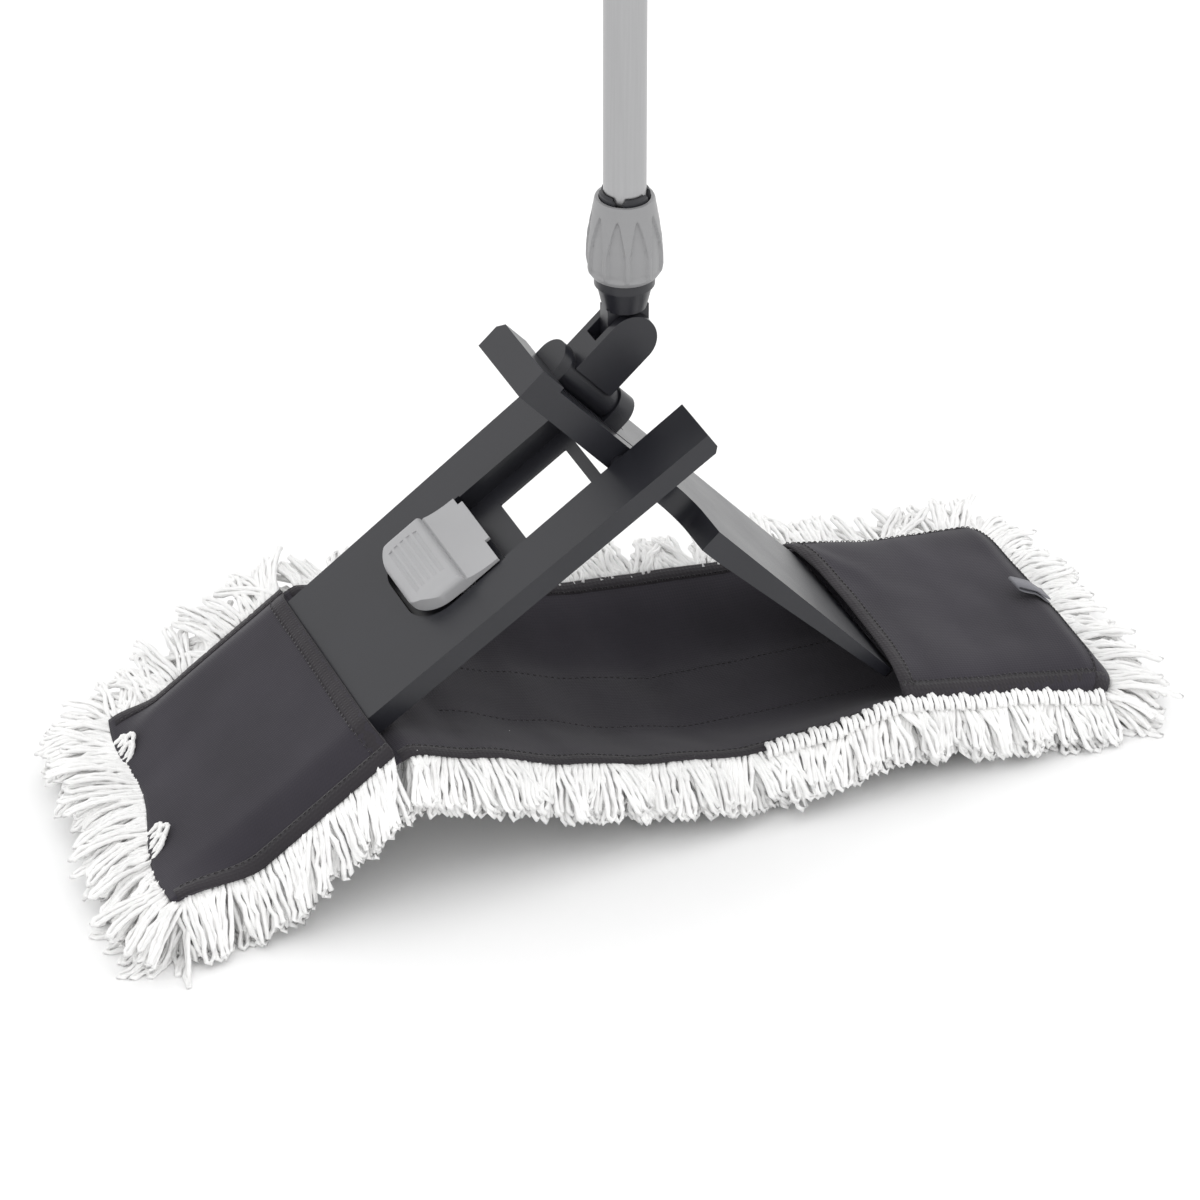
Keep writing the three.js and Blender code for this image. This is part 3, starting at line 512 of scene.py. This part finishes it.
def crown_surface(s, y):
    x0 = right_mouth(y)
    x = x0 + s * (right_end(y) - x0)
    return Vector((x, y, crown_height(x, y)))


def hem_section(edge, inner, lift, bulge):
    """The points round a hem's cross-section, from its inner line over the top to below."""
    out = (edge - inner).normalized()
    up = Vector((0, 0, 1))
    return [inner + up * 0.3,
            inner + up * (lift - 0.1),
            (inner + edge) / 2 + up * (lift + 0.35 + bulge),
            edge + up * lift * 0.8,
            edge + out * 0.9,
            edge - up * 1.3,
            inner - up * 1.6]


def ribbon(name, edge_at, inner_at, count, mat, lift):
    """A hem: a band between an edge line and a line inside it, standing `lift` proud."""
    verts, faces = [], []
    for i in range(count + 1):
        t = i / count
        verts.extend(hem_section(edge_at(t), inner_at(t), lift, 0.25 * math.sin(i * 1.9)))
    rows = len(verts) // (count + 1)
    for i in range(count):
        for k in range(rows):
            a, b = i * rows + k, i * rows + (k + 1) % rows
            faces.append((a, b, b + rows, a + rows))
    faces.append(tuple(range(rows))[::-1])
    faces.append(tuple(count * rows + k for k in range(rows)))
    return new_object(name, verts, faces, mat)


def stitches(name, line_at, length, over):
    """A row of short thread stitches along a line, at a height over the cloth."""
    paths = []
    up = Vector((0, 0, over))
    count = int(length / STITCH_STEP)
    for i in range(count):
        a = line_at((i + 0.15) / count)
        b = line_at((i + 0.8) / count)
        paths.append([a + up * 0.4,
                      (a * 0.75 + b * 0.25) + up,
                      (a * 0.25 + b * 0.75) + up,
                      b + up * 0.4])
    verts, faces = tube_mesh(paths, STITCH_R, 5)
    return new_object(name, verts, faces, THREAD)


left_top_at = left_surface(True)
left_foot_at = left_surface(False)

left_top = sheet_from("left_pocket_top", left_top_at, 44, 56, CLOTH)
left_foot = sheet_from("left_pocket_foot", left_foot_at, 44, 56, CLOTH)
middle = sheet_from("middle_cloth", middle_at, 120, 56, CLOTH)
crown = sheet_from("right_pocket_top", crown_surface, 48, 56, CLOTH, POCKET_HALF)

def edge_hem(name, place_at, y_edge, s0, s1):
    inward = -math.copysign(HEM_WIDTH, y_edge)
    return ribbon(name, lambda t: place_at(s0 + t * (s1 - s0), y_edge),
                  lambda t: place_at(s0 + t * (s1 - s0), y_edge + inward), 70, HEM, 1.1)


def cross_hem(name, place_at, s_edge, s_inner, half, lift):
    return ribbon(name, lambda t: place_at(s_edge, -half + 2 * half * t),
                  lambda t: place_at(s_inner, -half + 2 * half * t), 60, HEM, lift)


def edge_stitches(name, place_at, y, s0, s1, length, over=1.7):
    return stitches(name, lambda t: place_at(s0 + t * (s1 - s0), y), length, over)


def cross_stitches(name, place_at, s, half, over):
    return stitches(name, lambda t: place_at(s, -half + 2 * half * t), 2 * half, over)


left_hems = [edge_hem(f"left_hem_{side}", left_top_at, sign * CLOTH_HALF, 0.0, 0.97)
             for side, sign in SIDES]
left_hems.append(cross_hem("left_mouth_hem", left_top_at, 0.0, 0.075, CLOTH_HALF - 2, 0.9))
left_stitches = [cross_stitches("left_mouth_stitch", left_top_at, 0.07, 80, 1.5)]
for side, sign in SIDES:
    left_stitches.append(edge_stitches(
        f"left_{side}_stitch", left_top_at, sign * (CLOTH_HALF - STITCH_INSET), 0, 0.95, 130))

# Share of the middle cloth at which the right pocket begins
MOUTH_S = (MOUTH_RIGHT - MIDDLE_START) / (RIGHT_END - MIDDLE_START)
middle_hems = [edge_hem(f"middle_hem_{side}", middle_at, sign * CLOTH_HALF, 0.02, MOUTH_S)
               for side, sign in SIDES]
middle_stitches = []
for side, sign in SIDES:
    middle_stitches.append(edge_stitches(
        f"middle_{side}_stitch", middle_at, sign * (CLOTH_HALF - STITCH_INSET), 0.03, MOUTH_S - 0.01, 290))
for number, y in enumerate((-26, 24)):
    middle_stitches.append(edge_stitches(f"middle_seam_{number}", middle_at, y, 0.12, 0.72, 250, 0.9))

right_hems = [edge_hem(f"right_hem_{side}", crown_surface, sign * POCKET_HALF, 0.0, 1.0)
              for side, sign in SIDES]
right_hems.append(cross_hem("right_mouth_hem", crown_surface, 0.0, 0.06, POCKET_HALF - 2, 0.9))
right_hems.append(cross_hem("right_end_hem", crown_surface, 1.0, 0.935, POCKET_HALF, 1.1))
right_stitches = [cross_stitches("right_mouth_stitch", crown_surface, 0.055, 78, 1.5)]
for side, sign in SIDES:
    right_stitches.append(edge_stitches(
        f"right_{side}_stitch", crown_surface, sign * (POCKET_HALF - 8), 0, 0.93, 120))
right_stitches.append(cross_stitches("right_end_stitch", crown_surface, 0.93, 76, 1.7))


def tag_mesh():
    """A short folded tape sewn into the end seam."""
    verts, faces = [], []
    across = len(TAG["y"])
    for i in range(TAG["steps"] + 1):
        t = i / TAG["steps"]
        x = TAG["x"] - TAG["reach"] * math.sin(math.pi * min(1, t * 1.02))
        arch = 10.5 * math.sin(math.pi * t * 0.5) * (1 - 0.85 * smoothstep(0.5, 1, t))
        lift = 1.8 + arch + 1.2 * t
        for y in TAG["y"]:
            verts.append(Vector((x, y, crown_height(x, y) + lift)))
    for i in range(TAG["steps"]):
        for k in range(across - 1):
            a = i * across + k
            faces.append((a, a + 1, a + across + 1, a + across))
    obj = new_object("label_tag_folded", verts, faces, TAPE)
    add_modifier(obj, "SOLIDIFY", thickness=TAG["thick"] * MM, offset=0)
    return obj


tag = tag_mesh()
finish_piece(tag, "cover", "tag", "label_tag")

finish_piece(left_top, "left_half", "cloth", "left_pocket")
finish_piece(left_foot, "left_half", "cloth")
for obj in left_hems + left_stitches:
    finish_piece(obj, "left_half", "cloth")
for obj in [crown] + right_hems + right_stitches:
    finish_piece(obj, "cover", "cloth")
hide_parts("right_pocket")

# The cloth turns from the floor to the slope; it stays where it is built, on no body
for obj in [middle] + middle_hems + middle_stitches:
    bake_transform(obj)
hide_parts("base_cloth", "span_cloth")


# ------------------------------------------------------------------ looped yarn

def jitter(rng, x, y, z):
    """A random offset within the given reach each way."""
    return Vector((rng.uniform(-x, x), rng.uniform(-y, y), rng.uniform(-z, z)))


def along_floor(direction, heading, drop):
    """The direction of a strand that would go below the floor, turned to lie on it."""
    flat = Vector((direction.x, direction.y, 0))
    if flat.length <= 0.05:
        flat = Vector((heading.x, heading.y, 0))
    flat = flat.normalized()
    return Vector((flat.x, flat.y, max(-0.9, drop))).normalized()


def strand(start, heading, length, rng, stiffness):
    """One leg of a loop: it leaves along heading, then droops, and lies on the floor."""
    points = [start]
    direction = heading.normalized()
    position = start.copy()
    for _ in range(int(length / STRAND_STEP)):
        direction = (direction + Vector((0, 0, -1)) * (0.17 / stiffness)).normalized()
        direction = (direction + jitter(rng, 1, 1, 0.6) * 0.13).normalized()
        if position.z + direction.z * STRAND_STEP < YARN_R:
            direction = along_floor(direction, heading, (YARN_R - position.z) / STRAND_STEP)
        position = position + direction * STRAND_STEP
        position.z = max(position.z, YARN_R)
        points.append(position.copy())
    return points


def loop_path(start, heading, along_edge, length, rng, stiffness):
    """A whole loop: out along one leg, round the tip, and back beside it."""
    out = strand(start, heading, length, rng, stiffness)
    shift = along_edge * rng.uniform(2.6, 4.2)
    tip = out[-1] + (out[-1] - out[-2]) * 0.45 + shift * 0.5
    tip.z = max(tip.z, YARN_R)
    back = []
    for point in reversed(out):
        moved = point + shift + jitter(rng, 1, 1, 1) * 0.9
        moved.z = max(moved.z, YARN_R)
        back.append(moved)
    return out + [tip] + back


def yarn_object(name, paths):
    verts, faces = tube_mesh(paths, YARN_R, YARN_SIDES, 0.45)
    return new_object(name, verts, faces, YARN)


def fringe_places(count, rng):
    """The row of each loop of a fringe, and its place along the edge from 0 to 1."""
    for row in range(FRINGE_ROWS):
        for i in range(count):
            yield row, (i + rng.uniform(0.1, 0.9)) / count


def row_pitch(droop, row, rng):
    """How far a loop droops: from droop[0] in the first row to droop[1] in the last."""
    return droop[0] + (droop[1] - droop[0]) * (row + rng.random()) / FRINGE_ROWS


def side_loops(edge_at, side, edge_length, seed, lengths, droop, stiffness):
    """Loops along a side edge; edge_at(t) is a point of the edge."""
    rng = random.Random(seed)
    paths = []
    for row, t in fringe_places(int(edge_length / FRINGE_SPACING), rng):
        start = edge_at(t) + Vector((0, -side * (1.5 + 2.0 * row), -1.2 - 1.2 * row))
        tangent = (edge_at(min(1, t + 0.01)) - edge_at(max(0, t - 0.01))).normalized()
        clump = noise.noise(Vector((t * edge_length * 0.045, row * 2.7, seed)))
        pitch = row_pitch(droop, row, rng)
        lean = tangent.x * (clump * 1.3 + rng.uniform(-0.3, 0.3))
        heading = Vector((lean, side * math.cos(pitch), -math.sin(pitch)))
        length = rng.uniform(*lengths) * (1 + 0.22 * clump)
        paths.append(loop_path(start, heading, tangent, length, rng, stiffness))
    return paths


def end_loops(edge_at, outward, seed, lengths, droop, stiffness):
    """Loops along an end edge, fanned out towards its corners."""
    rng = random.Random(seed)
    paths = []
    for row, t in fringe_places(int(2 * CLOTH_HALF / FRINGE_SPACING), rng):
        start = edge_at(t) + Vector((-outward * (1.5 + 2.0 * row), 0, -1.0 - 1.2 * row))
        start.z = max(start.z, YARN_R)
        fan = (t - 0.5) * 1.7
        clump = noise.noise(Vector((t * 8, row * 2.7, seed)))
        pitch = row_pitch(droop, row, rng)
        lean = fan + clump * 0.6 + rng.uniform(-0.25, 0.25)
        heading = Vector((outward * math.cos(pitch), lean, -math.sin(pitch)))
        length = rng.uniform(*lengths) * (1 + 0.2 * clump)
        paths.append(loop_path(start, heading, Vector((0, 1, 0)), length, rng, stiffness))
    return paths


def rolled_edge():
    """The roots of the loops, twisted over the near edge of the middle cloth."""
    paths = []
    count = int(MIDDLE_EDGE_LENGTH / ROLL_SPACING)
    for i in range(count):
        root = middle_at(0.03 + (i + 0.5) / count * 0.97, -CLOTH_HALF)
        if root.x < ROLL_START_X:
            continue
        puff = 2.6 + 0.7 * math.sin(i * 2.3)
        section = ((0.5, 2.6, 0.4), (0.8, 1.2, puff), (1, -1.0, puff), (1.1, -3.4, 0.8), (1.3, -4.6, -2.4))
        for lean in ROLL_LEANS:
            paths.append([root + Vector((x * lean, y, z)) for x, y, z in section])
    return paths


def end_curls():
    """A few loops of the left end that have flipped up over the edge of the cloth."""
    paths = []
    for t, reach, rise in CURLS:
        y = -CLOTH_HALF + 2 * CLOTH_HALF * t
        points = []
        for i in range(CURL_STEPS + 1):
            turn = math.pi * i / CURL_STEPS
            s = 1.03 - reach / CURL_SCALE * (0.25 + math.sin(turn))
            root = left_top_at(s, y + CURL_HALF_WIDTH * math.cos(turn))
            points.append(root + Vector((0, 0, -2 + (rise + 2) * math.sin(turn))))
        paths.append(points)
    return paths


def under_loops(height_at, x0, x1, seed, lengths):
    """Short loops under the cloth, over a plan area."""
    rng = random.Random(seed)
    paths = []
    x_step, y_step = PILE_SPACING
    for i in range(int((x1 - x0) / x_step)):
        for j in range(int(2 * PILE_HALF / y_step)):
            x = x0 + (i + rng.random()) * x_step
            y = -PILE_HALF + (j + rng.random()) * y_step
            heading = Vector((rng.uniform(-0.7, 0.7), rng.uniform(-0.7, 0.7), -1))
            length = rng.uniform(*lengths)
            paths.append(loop_path(height_at(x, y), heading, Vector((0.7, 0.7, 0)), length, rng, 0.7))
    return paths


def middle_edge(y):
    return lambda t: middle_at(0.03 + t * 0.97, y)


def left_edge(y):
    return lambda t: left_foot_at(t * 0.98, y)


def cross_edge(place_at, s):
    return lambda t: place_at(s, -CLOTH_HALF + 2 * CLOTH_HALF * t)


def under_middle(x, y):
    return Vector((x, y, max(YARN_R, base_height(x, y) - 2.5)))


def under_left(u, y):
    return left_point(u, y, left_height(u, y, False) - 2.5)


near_middle = yarn_object("fringe_near", side_loops(
    middle_edge(-CLOTH_HALF), -1, MIDDLE_EDGE_LENGTH, 11, (25, 33), (0.3, 1.35), 1.1) + rolled_edge())
far_middle = yarn_object("fringe_far", side_loops(
    middle_edge(CLOTH_HALF), 1, MIDDLE_EDGE_LENGTH, 12, (27, 36), (-0.5, 0.8), 2.2))
pile_middle = yarn_object("pile_middle", under_loops(under_middle, -140, 262, 13, (17, 23)))
for obj, nodes in ((near_middle, ("fringe_right_near", "fringe_span_near")),
                   (far_middle, ("fringe_right_far", "fringe_span_far")),
                   (pile_middle, ("pile_right", "pile_span"))):
    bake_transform(obj)
    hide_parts(*nodes)

near_left = yarn_object("fringe_left_near_loops", side_loops(
    left_edge(-CLOTH_HALF), -1, 135, 21, (31, 40), (0.5, 1.4), 1.1))
far_left = yarn_object("fringe_left_far_loops", side_loops(
    left_edge(CLOTH_HALF), 1, 115, 22, (30, 39), (-0.55, 0.8), 2.2))
pile_left = yarn_object("pile_left_loops", under_loops(under_left, MOUTH_LEFT, 290, 23, (15, 20)))
for obj, node in ((near_left, "fringe_left_near"), (far_left, "fringe_left_far"), (pile_left, "pile_left")):
    finish_piece(obj, "left_half", "yarn", node)

left_end_loops = yarn_object("fringe_left_end_loops", end_loops(
    cross_edge(left_foot_at, 0.985), -1, 31, (40, 50), (-0.35, 0.8), 1.8) + end_curls())
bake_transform(left_end_loops)
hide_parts("fringe_left_end")

right_end_loops = yarn_object("fringe_right_end_loops", end_loops(
    cross_edge(middle_at, 1), 1, 32, (32, 40), (-0.4, 0.7), 1.6))
finish_piece(right_end_loops, "cover", "yarn", "fringe_right_end")

spring = bpy.data.objects["pedal_spring"]
spring.data.materials.clear()
spring.data.materials.append(STEEL)


# ------------------------------------------------------------------ floor, light, camera

floor_mat = new_material("pale_floor", (0.97, 0.97, 0.97), 0.9)[0]
floor_corners = [(x * FLOOR_HALF, y * FLOOR_HALF, 0) for x, y in ((-1, -1), (1, -1), (1, 1), (-1, 1))]
floor = new_object("studio_floor", floor_corners, [(0, 1, 2, 3)], floor_mat, False)

world = bpy.data.worlds.new("studio")
bpy.context.scene.world = world
world.use_nodes = True
background = world.node_tree.nodes["Background"]
background.inputs["Color"].default_value = (1, 1, 1, 1)
background.inputs["Strength"].default_value = 1.1
bpy.context.scene.view_settings.view_transform = "Standard"


def area_light(name, location, size, power):
    """A square light aimed at the mop."""
    data = bpy.data.lights.new(name, "AREA")
    data.size = size
    data.energy = power
    obj = bpy.data.objects.new(name, data)
    obj.location = location
    aim = Vector((0, 0, 0.1)) - Vector(location)
    obj.rotation_euler = aim.to_track_quat("-Z", "Y").to_euler()
    bpy.context.scene.collection.objects.link(obj)


area_light("key_light", (-1.2, -1.4, 2.6), 1.6, 7)
area_light("fill_light", (1.8, -1.0, 1.6), 1.8, 3)
area_light("rim_light", (0.8, 2.2, 2.2), 1.6, 4)

camera_data = bpy.data.cameras.new("photo_camera")
camera_data.lens = 180
camera_data.sensor_width = 36
camera_data.clip_end = 50
camera = bpy.data.objects.new("photo_camera", camera_data)
camera.location = (-1.0136, -2.443, 1.7805)
camera.rotation_euler = (math.radians(57.5), 0, math.radians(-22.56))
bpy.context.scene.collection.objects.link(camera)
bpy.context.scene.camera = camera
